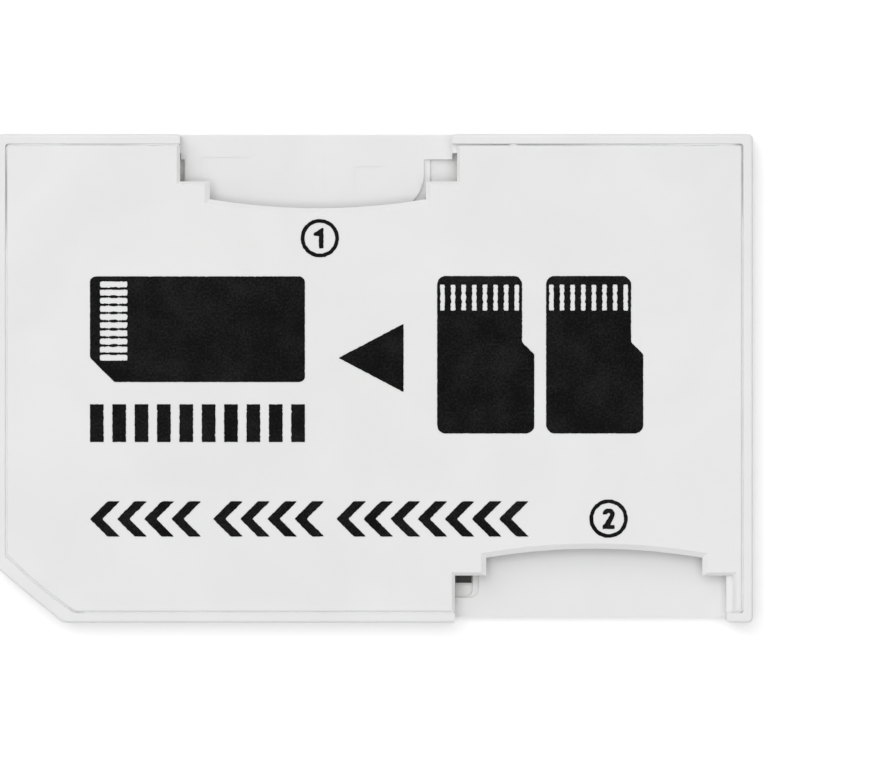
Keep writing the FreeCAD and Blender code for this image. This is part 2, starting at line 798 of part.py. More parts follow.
def chevron_print():
    """Row of chevrons in groups that point to the end that goes into the host."""
    y = chevron_y
    half = chevron_height / 2
    x = print_left_x
    chevrons = []
    for count in chevron_counts:
        for _ in range(count):
            chevrons.append(ink([
                (x, y, 0),
                (x + half, y - half, 0),
                (x + half + chevron_stroke, y - half, 0),
                (x + chevron_stroke, y, 0),
                (x + half + chevron_stroke, y + half, 0),
                (x + half, y + half, 0),
            ]))
            x += chevron_pitch
        x += chevron_group_gap
    return Part.makeCompound(chevrons)


def export(name, shape):
    solids = shape.Solids
    whole = solids[0] if len(solids) == 1 else Part.makeCompound(solids)
    whole.exportStep(os.path.join("parts", name + ".step"))


def main():
    os.makedirs("parts", exist_ok=True)
    export("base_shell", base_shell())
    export("top_cover", top_cover())
    export("circuit_board", circuit_board())
    for i in range(host_contact_count):
        export("host_contact_%02d" % (i + 1), host_contact(i))
    for slot in slots:
        export("slot_%d_comb" % (slot + 1), turned(slot, contact_comb()))
        for i in range(spring_count):
            export("slot_%d_spring_%d" % (slot + 1, i + 1), turned(slot, contact_spring(i)))
    export("controller_chip", controller_chip())
    for i in range(capacitor_count):
        export("capacitor_%d" % (i + 1), passive(i, capacitor_count, capacitor_row_y, capacitor_height))
    for i in range(resistor_count):
        export("resistor_%d" % (i + 1), passive(i, resistor_count, resistor_row_y, resistor_height))
    export("number_1_print", number_print(0, digit_one))
    export("number_2_print", number_print(1, digit_two))
    export("host_card_print", host_card_print())
    export("tick_print", tick_print())
    export("arrow_print", arrow_print())
    for i in range(small_print_count):
        export("small_card_%d_print" % (i + 1), small_card_print(i))
    export("chevron_print", chevron_print())


main()
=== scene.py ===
import math

import bmesh
import bpy
from bpy.props import FloatProperty, FloatVectorProperty, PointerProperty
from bpy.types import Operator, Panel, PropertyGroup
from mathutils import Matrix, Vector, noise
from mathutils.bvhtree import BVHTree


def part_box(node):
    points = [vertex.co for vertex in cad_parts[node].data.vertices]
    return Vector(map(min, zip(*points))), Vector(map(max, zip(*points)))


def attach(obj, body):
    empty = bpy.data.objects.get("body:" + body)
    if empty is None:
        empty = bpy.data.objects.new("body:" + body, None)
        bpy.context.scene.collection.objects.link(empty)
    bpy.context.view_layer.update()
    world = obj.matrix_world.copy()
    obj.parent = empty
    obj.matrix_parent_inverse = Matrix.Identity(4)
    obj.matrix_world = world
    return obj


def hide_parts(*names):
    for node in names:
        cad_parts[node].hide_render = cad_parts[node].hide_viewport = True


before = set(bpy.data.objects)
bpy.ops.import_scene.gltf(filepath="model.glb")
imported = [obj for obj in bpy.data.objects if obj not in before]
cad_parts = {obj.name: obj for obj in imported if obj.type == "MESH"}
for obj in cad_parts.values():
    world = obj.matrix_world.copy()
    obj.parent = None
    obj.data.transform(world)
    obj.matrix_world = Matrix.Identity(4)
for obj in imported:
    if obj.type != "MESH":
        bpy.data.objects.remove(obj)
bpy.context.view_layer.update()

bl_info = {
    "name": "Card Adapter Looks",
    "version": (1, 0, 0),
    "blender": (4, 5, 0),
    "location": "3D View > Sidebar > Adapter",
    "description": "Finishes the packed card adapter: moulded plastic, ink, board, contacts and the studio",
    "category": "Object",
}

mm = 0.001
um = 0.000001

# Without a seed of its own, the ragged edge of the ink would change with the clock
ink_seed = 31

# Corners of a mesh nearer than this are one point
same_point = 0.2 * um

# Corners this near to a cut lie on it
on_the_cut = 0.1 * um

# Least Z of the normal of a face that looks up
facing_up = 0.9

# Faces this near to a node's highest point lie on its top
level_play = 1 * um

# Places where the weld ran thin or full, in millimetres: X, Y, reach, and how much deeper its flash lies
weld_spots = (
    (5.4, 9.57, 3.6, 0.15),
    (5.7, 9.57, 0.25, -0.20),
    (9.6, 9.57, 2.6, 0.05),
    (15.07, 8.5, 2.3, 0.12),
    (15.07, 0.0, 10.5, 0.04),
    (15.0, 9.5, 0.35, 0.05),
    (13.9, 9.57, 1.4, -0.10),
    (-15.07, 8.4, 3.4, 0.16),
    (-14.0, 9.57, 1.7, -0.14),
    (-11.4, 9.57, 2.6, 0.04),
    (-9.1, 9.57, 0.35, -0.07),
    (-13.7, -8.5, 2.2, 0.01),
    (-12.2, -9.53, 0.35, 0.07),
)


# Nodes and colours

def linear(code):
    """Turns a colour written as sRGB hex into the linear RGBA that the shaders take."""
    parts = [int(code[i:i + 2], 16) / 255 for i in (0, 2, 4)]
    return [c / 12.92 if c <= 0.04045 else ((c + 0.055) / 1.055) ** 2.4 for c in parts] + [1.0]


def add(tree, kind, inputs, **settings):
    """Adds a shader node with its settings, and fills its sockets with values or with links."""
    node = tree.nodes.new("ShaderNode" + kind)
    for name, value in settings.items():
        setattr(node, name, value)
    for name, value in inputs.items():
        if isinstance(value, bpy.types.NodeSocket):
            tree.links.new(value, node.inputs[name])
        else:
            node.inputs[name].default_value = value
    return node


def new_material(name):
    """Empty node material and its object coordinates."""
    material = bpy.data.materials.new(name)
    material.use_nodes = True
    tree = material.node_tree
    tree.nodes.clear()
    place = add(tree, "TexCoord", {}).outputs["Object"]
    return material, tree, place


def close_material(tree, shader):
    """Ends a node tree with what its surface shows."""
    add(tree, "OutputMaterial", {"Surface": shader})


def moulded_abs(settings):
    """White ABS, injection moulded: a fine satin grain from the eroded mould and a faint flow tone."""
    material, tree, place = new_material("white_abs_injection_moulded")
    grain = add(tree, "TexNoise", {"Vector": place, "Scale": 1 / settings.grain_size, "Detail": 3.0,
                                   "Roughness": 0.6}).outputs["Fac"]
    flow = add(tree, "TexNoise", {"Vector": place, "Scale": 1 / settings.flow_size, "Detail": 2.0,
                                  "Distortion": 0.8}).outputs["Fac"]
    # Tone drifts a little where the melt ran together
    tone = add(tree, "MapRange", {"Value": flow, "From Min": 0.3, "From Max": 0.7}).outputs["Result"]
    colour = add(tree, "Mix", {"Factor": tone, "A": settings.plastic, "B": settings.plastic_pale},
                 data_type="RGBA").outputs["Result"]
    # The pits of the grain scatter the light a little more than the land between them
    rough = add(tree, "MapRange", {"Value": grain, "From Min": 0.3, "From Max": 0.7, "To Min": 0.48,
                                   "To Max": 0.62}).outputs["Result"]
    bump = add(tree, "Bump", {"Height": grain, "Distance": settings.grain_depth}).outputs["Normal"]
    shader = add(tree, "BsdfPrincipled", {
        "Base Color": colour, "Roughness": rough, "Normal": bump, "IOR": 1.54, "Subsurface Weight": 0.25,
        "Subsurface Radius": (1.0, 0.95, 0.9), "Subsurface Scale": 0.12 * mm})
    close_material(tree, shader.outputs["BSDF"])
    return material


def screen_ink(settings):
    """Black screen ink: nearly black, half matt, with paler specks where the grain of the plastic shows."""
    material, tree, place = new_material("black_ink_screen_printed")
    speck = add(tree, "TexNoise", {"Vector": place, "Scale": 1 / settings.speck_size, "Detail": 4.0,
                                   "Roughness": 0.7}).outputs["Fac"]
    cover = add(tree, "TexNoise", {"Vector": place, "Scale": 1 / settings.coverage_size,
                                   "Detail": 2.0}).outputs["Fac"]
    # Thin spots come in patches, where the squeegee left less ink
    thin = add(tree, "Math", {0: cover, 1: 0.4, 2: speck}, operation="MULTIPLY_ADD").outputs["Value"]
    pale = add(tree, "MapRange", {"Value": thin, "From Min": 0.62, "From Max": 1.05}).outputs["Result"]
    colour = add(tree, "Mix", {"Factor": pale, "A": settings.ink, "B": settings.ink_thin},
                 data_type="RGBA").outputs["Result"]
    rough = add(tree, "MapRange", {"Value": speck, "To Min": 0.4, "To Max": 0.7}).outputs["Result"]
    bump = add(tree, "Bump", {"Height": speck, "Distance": 4 * um}).outputs["Normal"]
    shader = add(tree, "BsdfPrincipled", {"Base Color": colour, "Roughness": rough, "Normal": bump,
                                          "IOR": 1.5, "Specular IOR Level": 0.06})
    close_material(tree, shader.outputs["BSDF"])
    return material


def solder_mask(settings):
    """Circuit board: glossy black mask that swells over the traces, and cut glass laminate at the edges."""
    material, tree, place = new_material("fr4_laminate_black_solder_mask")
    # Traces run along the board in some patches and across it in others. A wave whose scale is 1 repeats
    # every pi / 10 metres
    bands = [add(tree, "TexWave", {"Vector": place, "Scale": math.pi / 10 / settings.trace_pitch},
                 bands_direction=way).outputs["Fac"] for way in ("X", "Y")]
    patch = add(tree, "TexVoronoi", {"Vector": place, "Scale": 1 / settings.patch_size},
                distance="CHEBYCHEV").outputs["Color"]
    turn = add(tree, "Math", {0: patch, 1: 0.5}, operation="GREATER_THAN").outputs["Value"]
    wave = add(tree, "Mix", {"Factor": turn, "A": bands[0], "B": bands[1]}).outputs["Result"]
    trace = add(tree, "MapRange", {"Value": wave, "From Min": 0.4, "From Max": 0.6},
                interpolation_type="SMOOTHSTEP").outputs["Result"]
    mask = add(tree, "Mix", {"Factor": trace, "A": settings.mask, "B": settings.mask_on_copper},
               data_type="RGBA").outputs["Result"]
    # The routed edge shows the layers of glass cloth in their resin
    layers = add(tree, "VectorMath", {0: place, 1: settings.layer_scale},
                 operation="MULTIPLY").outputs["Vector"]
    cloth = add(tree, "TexNoise", {"Vector": layers, "Scale": 1.0, "Detail": 2.0}).outputs["Fac"]
    resin = add(tree, "Mix", {"Factor": cloth, "A": linear("4E4526"), "B": linear("A59A68")},
                data_type="RGBA").outputs["Result"]
    upright = add(tree, "SeparateXYZ", {"Vector": place.node.outputs["Normal"]}).outputs["Z"]
    flat = add(tree, "Math", {0: upright}, operation="ABSOLUTE").outputs["Value"]
    face = add(tree, "Math", {0: flat, 1: 0.5}, operation="GREATER_THAN").outputs["Value"]
    colour = add(tree, "Mix", {"Factor": face, "A": resin, "B": mask}, data_type="RGBA").outputs["Result"]
    rough = add(tree, "MapRange", {"Value": face, "To Min": 0.8, "To Max": 0.34}).outputs["Result"]
    bump = add(tree, "Bump", {"Height": trace, "Distance": settings.trace_height}).outputs["Normal"]
    shader = add(tree, "BsdfPrincipled", {"Base Color": colour, "Roughness": rough, "Normal": bump,
                                          "IOR": 1.52})
    close_material(tree, shader.outputs["BSDF"])
    return material


def glass_filled_lcp(settings):
    """Black liquid crystal polymer, moulded: matt, with paler swirls where its glass fibres show."""
    material, tree, place = new_material("black_lcp_glass_filled_moulded")
    swirl = add(tree, "TexNoise", {"Vector": place, "Scale": 1 / settings.swirl_size, "Detail": 4.0,
                                   "Distortion": 2.5}).outputs["Fac"]
    fibre = add(tree, "TexNoise", {"Vector": place, "Scale": 1 / settings.fibre_size,
                                   "Detail": 2.0}).outputs["Fac"]
    shown = add(tree, "Math", {0: swirl, 1: fibre}, operation="MULTIPLY").outputs["Value"]
    pale = add(tree, "MapRange", {"Value": shown, "From Min": 0.2, "From Max": 0.4}).outputs["Result"]
    colour = add(tree, "Mix", {"Factor": pale, "A": linear("101010"), "B": linear("2A2A28")},
                 data_type="RGBA").outputs["Result"]
    rough = add(tree, "MapRange", {"Value": fibre, "To Min": 0.45, "To Max": 0.7}).outputs["Result"]
    bump = add(tree, "Bump", {"Height": fibre, "Distance": 3 * um}).outputs["Normal"]
    shader = add(tree, "BsdfPrincipled", {"Base Color": colour, "Roughness": rough, "Normal": bump,
                                          "IOR": 1.6})
    close_material(tree, shader.outputs["BSDF"])
    return material


def chip_epoxy(settings):
    """Black epoxy of a moulded chip: evenly matt, with the grey sparkle of the silica that fills it."""
    material, tree, place = new_material("black_epoxy_silica_filled_moulded")
    grains = add(tree, "TexVoronoi", {"Vector": place, "Scale": 1 / settings.silica_size})
    size = add(tree, "MapRange", {"Value": grains.outputs["Distance"], "From Min": 0.1, "From Max": 0.5,
                                  "To Min": 1.0, "To Max": 0.0}).outputs["Result"]
    colour = add(tree, "Mix", {"Factor": size, "A": linear("131313"), "B": linear("262626")},
                 data_type="RGBA").outputs["Result"]
    rough = add(tree, "MapRange", {"Value": size, "To Min": 0.75, "To Max": 0.5}).outputs["Result"]
    bump = add(tree, "Bump", {"Height": size, "Distance": 4 * um}).outputs["Normal"]
    shader = add(tree, "BsdfPrincipled", {"Base Color": colour, "Roughness": rough, "Normal": bump,
                                          "IOR": 1.55})
    close_material(tree, shader.outputs["BSDF"])
    return material


def tinned_ceramic(name, node, settings, top, side):
    """Ceramic body of a small soldered part, coloured at top and sides, between two dimpled tin caps."""
    material, tree, place = new_material(name)
    low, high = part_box(node)
    middle = (low.y + high.y) / 2
    body_end = (high.y - low.y) / 2 - settings.cap_length
    along = add(tree, "SeparateXYZ", {"Vector": place}).outputs["Y"]
    off = add(tree, "Math", {0: along, 1: middle}, operation="SUBTRACT").outputs["Value"]
    away = add(tree, "Math", {0: off}, operation="ABSOLUTE").outputs["Value"]
    cap = add(tree, "Math", {0: away, 1: body_end}, operation="GREATER_THAN").outputs["Value"]
    upright = add(tree, "SeparateXYZ", {"Vector": place.node.outputs["Normal"]}).outputs["Z"]
    face = add(tree, "Math", {0: upright, 1: 0.5}, operation="GREATER_THAN").outputs["Value"]
    speck = add(tree, "TexNoise", {"Vector": place, "Scale": 1 / settings.ceramic_grain,
                                   "Detail": 3.0}).outputs["Fac"]
    body = add(tree, "Mix", {"Factor": face, "A": linear(side), "B": linear(top)},
               data_type="RGBA").outputs["Result"]
    shade = add(tree, "MapRange", {"Value": speck, "To Min": 0.75, "To Max": 1.2}).outputs["Result"]
    fired = add(tree, "VectorMath", {0: body, "Scale": shade}, operation="SCALE").outputs["Vector"]
    colour = add(tree, "Mix", {"Factor": cap, "A": fired, "B": linear("C6C8C9")},
                 data_type="RGBA").outputs["Result"]
    rough = add(tree, "MapRange", {"Value": speck, "To Min": 0.3, "To Max": 0.55}).outputs["Result"]
    bump = add(tree, "Bump", {"Height": speck, "Distance": 5 * um}).outputs["Normal"]
    shader = add(tree, "BsdfPrincipled", {"Base Color": colour, "Metallic": cap, "Roughness": rough,
                                          "Normal": bump})
    close_material(tree, shader.outputs["BSDF"])
    return material


def hard_gold(settings):
    """Hard gold over nickel on the host contacts: bright, with fine scratches along the way in."""
    material, tree, place = new_material("hard_gold_plated_worn_by_insertion")
    drawn = add(tree, "VectorMath", {0: place, 1: settings.scratch_scale},
                operation="MULTIPLY").outputs["Vector"]
    lines = add(tree, "TexNoise", {"Vector": drawn, "Scale": 1.0, "Detail": 3.0}).outputs["Fac"]
    scratch = add(tree, "MapRange", {"Value": lines, "From Min": 0.58, "From Max": 0.68}).outputs["Result"]
    wear = add(tree, "TexNoise", {"Vector": place, "Scale": 1 / settings.wear_size,
                                  "Detail": 2.0}).outputs["Fac"]
    worn = add(tree, "Math", {0: scratch, 1: wear}, operation="MULTIPLY").outputs["Value"]
    colour = add(tree, "Mix", {"Factor": worn, "A": settings.gold, "B": linear("D8CDB4")},
                 data_type="RGBA").outputs["Result"]
    rough = add(tree, "MapRange", {"Value": worn, "To Min": 0.18, "To Max": 0.5}).outputs["Result"]
    bump = add(tree, "Bump", {"Height": lines, "Distance": settings.scratch_depth}).outputs["Normal"]
    shader = add(tree, "BsdfPrincipled", {"Base Color": colour, "Metallic": 1.0, "Roughness": rough,
                                          "Normal": bump})
    close_material(tree, shader.outputs["BSDF"])
    return material


def plated_bronze(settings):
    """Phosphor bronze springs: nickel on the rolled arm, gold at the contact point, tin at the foot."""
    material, tree, place = new_material("phosphor_bronze_rolled_selectively_plated")
    across = add(tree, "SeparateXYZ", {"Vector": place}).outputs["Y"]
    ragged = add(tree, "TexNoise", {"Vector": place, "Scale": 1 / settings.plating_edge}).outputs["Fac"]
    away = add(tree, "Math", {0: across}, operation="ABSOLUTE").outputs["Value"]
    reach = add(tree, "Math", {0: ragged, 1: settings.plating_edge, 2: away},
                operation="MULTIPLY_ADD").outputs["Value"]
    gold = add(tree, "Math", {0: reach, 1: settings.gold_end}, operation="LESS_THAN").outputs["Value"]
    tin = add(tree, "Math", {0: reach, 1: settings.tin_start}, operation="GREATER_THAN").outputs["Value"]
    # The strip was rolled along its length, which leaves fine lines that way
    drawn = add(tree, "VectorMath", {0: place, 1: settings.rolling_scale},
                operation="MULTIPLY").outputs["Vector"]
    lines = add(tree, "TexNoise", {"Vector": drawn, "Scale": 1.0, "Detail": 2.0}).outputs["Fac"]
    nickel = add(tree, "Mix", {"Factor": lines, "A": linear("A59E92"), "B": linear("C9C2B4")},
                 data_type="RGBA").outputs["Result"]
    gilt = add(tree, "Mix", {"Factor": gold, "A": nickel, "B": linear("EBC87C")},
               data_type="RGBA").outputs["Result"]
    colour = add(tree, "Mix", {"Factor": tin, "A": gilt, "B": linear("B9BBBC")},
                 data_type="RGBA").outputs["Result"]
    rough = add(tree, "MapRange", {"Value": tin, "To Min": 0.26, "To Max": 0.5}).outputs["Result"]
    bump = add(tree, "Bump", {"Height": lines, "Distance": 1 * um}).outputs["Normal"]
    shader = add(tree, "BsdfPrincipled", {"Base Color": colour, "Metallic": 1.0, "Roughness": rough,
                                          "Normal": bump})
    close_material(tree, shader.outputs["BSDF"])
    return material


# Pieces

def dress(nodes, material):
    """Gives CAD nodes a material through their slot."""
    for node in nodes:
        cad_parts[node].material_slots[0].material = material


def own_mesh(bm, name, body, material):
    """Makes an object of a bmesh and lets it ride on a body."""
    mesh = bpy.data.meshes.new(name)
    bm.to_mesh(mesh)
    bm.free()
    piece = bpy.data.objects.new(name, mesh)
    bpy.context.scene.collection.objects.link(piece)
    mesh.materials.append(material)
    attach(piece, body)
    return piece


def outline_of(node):
    """Outline loops of the top face of a flat node, as a bmesh of edges alone."""
    bm = bmesh.new()
    bm.from_mesh(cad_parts[node].data)
    bmesh.ops.remove_doubles(bm, verts=bm.verts, dist=same_point)
    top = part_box(node)[1].z
    faces = {f for f in bm.faces
             if f.normal.z > facing_up and abs(f.calc_center_median().z - top) < level_play}
    rim = {e for e in bm.edges if sum(f in faces for f in e.link_faces) == 1}
    bmesh.ops.delete(bm, geom=[e for e in bm.edges if e not in rim], context="EDGES_FACES")
    bmesh.ops.delete(bm, geom=[v for v in bm.verts if not v.link_edges], context="VERTS")
    bmesh.ops.delete(bm, geom=list(bm.faces), context="FACES_ONLY")
    return bm


def closed_loops(bm):
    """Vertices of a bmesh of closed outlines, outline by outline."""
    reached = set()
    loops = []
    for start in bm.verts:
        if start in reached:
            continue
        reached.add(start)
        loop = [start]
        for vert in loop:
            for edge in vert.link_edges:
                other = edge.other_vert(vert)
                if other not in reached:
                    reached.add(other)
                    loop.append(other)
        loops.append(loop)
    return loops


def divide(bm, step):
    """Divides the edges of a bmesh into pieces no longer than a step."""
    for edge in list(bm.edges):
        cuts = int(edge.calc_length() / step)
        if cuts:
            bmesh.ops.subdivide_edges(bm, edges=[edge], cuts=cuts)


def print_piece(node, settings, material):
    """Ink of one print, with corners that ran round and an edge that follows the grain of the plastic."""
    bm = outline_of(node)
    circles = []
    for loop in closed_loops(bm):
        middle = sum((vert.co for vert in loop), Vector()) / len(loop)
        radii = [(vert.co - middle).length for vert in loop]
        if max(radii) - min(radii) < settings.circle_play:
            circles.append((middle, sum(radii) / len(radii)))
    divide(bm, settings.outline_step)
    bmesh.ops.smooth_vert(bm, verts=bm.verts, factor=settings.corner_run, use_axis_x=True, use_axis_y=True)
    # The flat sides that a ring got in its mesh go back out to the circle
    for middle, radius in circles:
        for vert in bm.verts:
            out = vert.co - middle
            if abs(out.length - radius) < settings.ring_reach:
                vert.co = middle + out.normalized() * radius
    low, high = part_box(node)
    for vert in bm.verts:
        wave = noise.noise_vector(vert.co / settings.ragged_size)
        vert.co.x = min(max(vert.co.x + wave.x * settings.ragged_depth, low.x), high.x)
        vert.co.y = min(max(vert.co.y + wave.y * settings.ragged_depth, low.y), high.y)
    filled = bmesh.ops.triangle_fill(bm, use_beauty=True, edges=bm.edges, normal=(0, 0, 1))
    faces = [g for g in filled["geom"] if isinstance(g, bmesh.types.BMFace)]
    grown = bmesh.ops.extrude_face_region(bm, geom=faces)
    verts = [g for g in grown["geom"] if isinstance(g, bmesh.types.BMVert)]
    bmesh.ops.translate(bm, verts=verts, vec=(0, 0, low.z - high.z))
    bmesh.ops.recalc_face_normals(bm, faces=bm.faces)
    piece = own_mesh(bm, node.replace("_print", "_ink"), "adapter", material)
    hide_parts(node)


def seam_edge(settings, wall):
    """Edge of the cover, as a bmesh of edges alone, wherever the rim faces it across the seam."""
    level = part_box("top_cover")[1].z - settings.level_depth
    bm = bmesh.new()
    bm.from_mesh(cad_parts["top_cover"].data)
    bmesh.ops.remove_doubles(bm, verts=bm.verts, dist=same_point)
    cut = bmesh.ops.bisect_plane(bm, geom=bm.verts[:] + bm.edges[:] + bm.faces[:], dist=on_the_cut,
                                 plane_co=(0, 0, level), plane_no=(0, 0, 1), clear_outer=True)
    facing = set()
    for edge in cut["geom_cut"]:
        if isinstance(edge, bmesh.types.BMEdge):
            out = edge.link_faces[0].normal
            middle = (edge.verts[0].co + edge.verts[1].co) / 2
            if wall.ray_cast(middle, out, settings.seam_reach)[0]:
                facing.add(edge)
    if not facing:
        raise RuntimeError("the rim faces no edge of the cover")
    bmesh.ops.delete(bm, geom=list(bm.faces), context="FACES_ONLY")
    bmesh.ops.delete(bm, geom=[e for e in bm.edges if e not in facing], context="EDGES")
    bmesh.ops.delete(bm, geom=[v for v in bm.verts if not v.link_edges], context="VERTS")
    divide(bm, settings.weld_step)
    return bm


def way_out(vert):
    """Direction from the cover to the rim at a vertex of the cover's edge, as long as its corner needs."""
    outs = []
    for edge in vert.link_edges:
        along = (edge.verts[1].co - edge.verts[0].co).normalized()
        out = Vector((along.y, -along.x, 0))
        outs.append(out if out.dot(vert.co) > 0 else -out)
    total = sum(outs, Vector())
    return total * (len(outs) / total.length_squared)


def weld_depth(place, settings):
    """Depth of the flash under the cover's face: shallow, but deeper where the weld ran thin."""
    depth = settings.flash_depth + settings.flash_waves * noise.noise(place / settings.flash_wave_size)
    for x, y, size, extra in weld_spots:
        away = math.hypot(place.x - x * mm, place.y - y * mm) / (size * mm)
        depth += extra * mm * max(0.0, 1 - away * away)
    return max(depth, settings.weld_play)


def weld_flash(settings, material):
    """Thread of plastic that the weld of the cover pressed up between cover and rim."""
    shell = bmesh.new()
    shell.from_mesh(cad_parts["base_shell"].data)
    wall = BVHTree.FromBMesh(shell)
    shell.free()
    bm = seam_edge(settings, wall)
    outs = {vert: way_out(vert) for vert in bm.verts}
    start, out = next(iter(outs.items()))
    gap = wall.ray_cast(start.co, out, settings.seam_reach)[3]
    ledge = wall.ray_cast(start.co + out * gap / 2, (0, 0, -1))[0].z
    ribbon = bmesh.ops.extrude_edge_only(bm, edges=bm.edges)
    for vert in [g for g in ribbon["geom"] if isinstance(g, bmesh.types.BMVert)]:
        inner = next(e.other_vert(vert) for e in vert.link_edges if e.other_vert(vert) in outs)
        vert.co = inner.co + outs[inner] * (gap - settings.weld_play)
    for vert, out in outs.items():
        vert.co += out * settings.weld_play
    for vert in bm.verts:
        vert.co.z = ledge + settings.weld_play
    grown = bmesh.ops.extrude_face_region(bm, geom=bm.faces[:])
    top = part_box("top_cover")[1].z
    for vert in [g for g in grown["geom"] if isinstance(g, bmesh.types.BMVert)]:
        vert.co.z = top - weld_depth(vert.co, settings)
    bmesh.ops.recalc_face_normals(bm, faces=bm.faces)
    own_mesh(bm, "seam_weld_flash", "adapter", material)


# Settings

class MouldingSettings(PropertyGroup):
    """Plastic of the base shell and the top cover"""
    plastic: FloatVectorProperty(name="Plastic", description="Colour of the white plastic",
                                 default=linear("E6E6E6"), size=4, subtype="COLOR", min=0.0, max=1.0)
    plastic_pale: FloatVectorProperty(name="Pale plastic",
                                      description="Its colour where the melt ran together",
                                      default=linear("EAEAEA"), size=4, subtype="COLOR", min=0.0, max=1.0)
    grain_size: FloatProperty(name="Grain size",
                              description="Spacing of the pits that the eroded mould leaves",
                              default=70 * um, min=10 * um, unit="LENGTH", precision=6)
    grain_depth: FloatProperty(name="Grain depth", description="Depth of those pits",
                               default=2.5 * um, min=0.0, unit="LENGTH", precision=7)
    flow_size: FloatProperty(name="Flow size", description="Size of the patches of tone in the plastic",
                             default=5 * mm, min=1 * mm, unit="LENGTH")


class WeldSettings(PropertyGroup):
    """Flash that the weld left in the seam"""
    level_depth: FloatProperty(name="Level depth",
                               description="Under the cover's face, where its edge is followed",
                               default=0.1 * mm, min=0.0, unit="LENGTH", precision=6)
    seam_reach: FloatProperty(name="Seam reach", description="Widest gap that still counts as the seam",
                              default=0.12 * mm, min=0.0, unit="LENGTH", precision=6)
    weld_step: FloatProperty(name="Weld step", description="Distance between points along the flash",
                             default=0.1 * mm, min=0.02 * mm, unit="LENGTH", precision=6)
    weld_play: FloatProperty(name="Weld play",
                             description="Gap at each side of the flash, and its least depth",
                             default=1.5 * um, min=0.0, unit="LENGTH", precision=7)
    flash_depth: FloatProperty(name="Flash depth",
                               description="Usual depth of the flash under the cover's face",
                               default=0.062 * mm, min=0.0, unit="LENGTH", precision=6)
    flash_waves: FloatProperty(name="Flash waves", description="How far that depth strays along the seam",
                               default=0.02 * mm, min=0.0, unit="LENGTH", precision=6)
    flash_wave_size: FloatProperty(name="Flash wave size",
                                   description="Length of those waves along the seam",
                                   default=0.9 * mm, min=0.05 * mm, unit="LENGTH", precision=6)


class BoardSettings(PropertyGroup):
    """Board, combs, chip and the small soldered parts"""
    mask: FloatVectorProperty(name="Mask", description="Colour of the solder mask on the bare board",
                              default=linear("0A0C0C"), size=4, subtype="COLOR", min=0.0, max=1.0)
    mask_on_copper: FloatVectorProperty(name="Mask on copper", description="Its colour over the traces",
                                        default=linear("161A1B"), size=4, subtype="COLOR", min=0.0, max=1.0)
    trace_pitch: FloatProperty(name="Trace pitch",
                               description="Spacing of the copper traces under the mask",
                               default=0.4 * mm, min=0.05 * mm, unit="LENGTH", precision=6)
    trace_height: FloatProperty(name="Trace height", description="How far the mask swells over a trace",
                                default=18 * um, min=0.0, unit="LENGTH", precision=6)
    patch_size: FloatProperty(name="Patch size",
                              description="Size of the areas whose traces run the same way",
                              default=2.2 * mm, min=0.2 * mm, unit="LENGTH", precision=6)
    layer_scale: FloatVectorProperty(name="Layer scale",
                                     description="Spots of glass cloth per metre at the edge",
                                     default=(3000, 3000, 18000), size=3)
    swirl_size: FloatProperty(name="Swirl size", description="Size of the swirls in the combs",
                              default=0.9 * mm, min=0.05 * mm, unit="LENGTH", precision=6)
    fibre_size: FloatProperty(name="Fibre size", description="Size of the glass specks in the combs",
                              default=30 * um, min=5 * um, unit="LENGTH", precision=6)
    silica_size: FloatProperty(name="Silica size", description="Spacing of the filler grains in the chip",
                               default=35 * um, min=5 * um, unit="LENGTH", precision=6)
    cap_length: FloatProperty(name="Cap length", description="Length of the tin caps of the small parts",
                              default=0.22 * mm, min=0.01 * mm, unit="LENGTH", precision=6)
    ceramic_grain: FloatProperty(name="Ceramic grain",
                                 description="Size of the specks in the small parts",
                                 default=60 * um, min=5 * um, unit="LENGTH", precision=6)


class ContactSettings(PropertyGroup):
    """Plating of the host contacts and the springs"""
    gold: FloatVectorProperty(name="Gold", description="Colour of the unworn gold of the host contacts",
                              default=linear("F0CE84"), size=4, subtype="COLOR", min=0.0, max=1.0)
    scratch_scale: FloatVectorProperty(name="Scratch scale",
                                       description="Scratches per metre, long along X",
                                       default=(500, 60000, 500), size=3)
    scratch_depth: FloatProperty(name="Scratch depth", description="Depth of the scratches",
                                 default=0.6 * um, min=0.0, unit="LENGTH", precision=7)
    wear_size: FloatProperty(name="Wear size", description="Size of the patches that are scratched more",
                             default=0.7 * mm, min=0.05 * mm, unit="LENGTH", precision=6)
    gold_end: FloatProperty(name="Gold end", description="From the middle line to the end of the gold",
                            default=4.4 * mm, min=0.0, unit="LENGTH", precision=6)
    tin_start: FloatProperty(name="Tin start", description="From the middle line to the start of the tin",
                             default=7.9 * mm, min=0.0, unit="LENGTH", precision=6)
    plating_edge: FloatProperty(name="Plating edge", description="How far the plating lines stray",
                                default=80 * um, min=1 * um, unit="LENGTH", precision=6)
    rolling_scale: FloatVectorProperty(name="Rolling scale",
                                       description="Rolling lines per metre, long along Y",
                                       default=(50000, 900, 900), size=3)


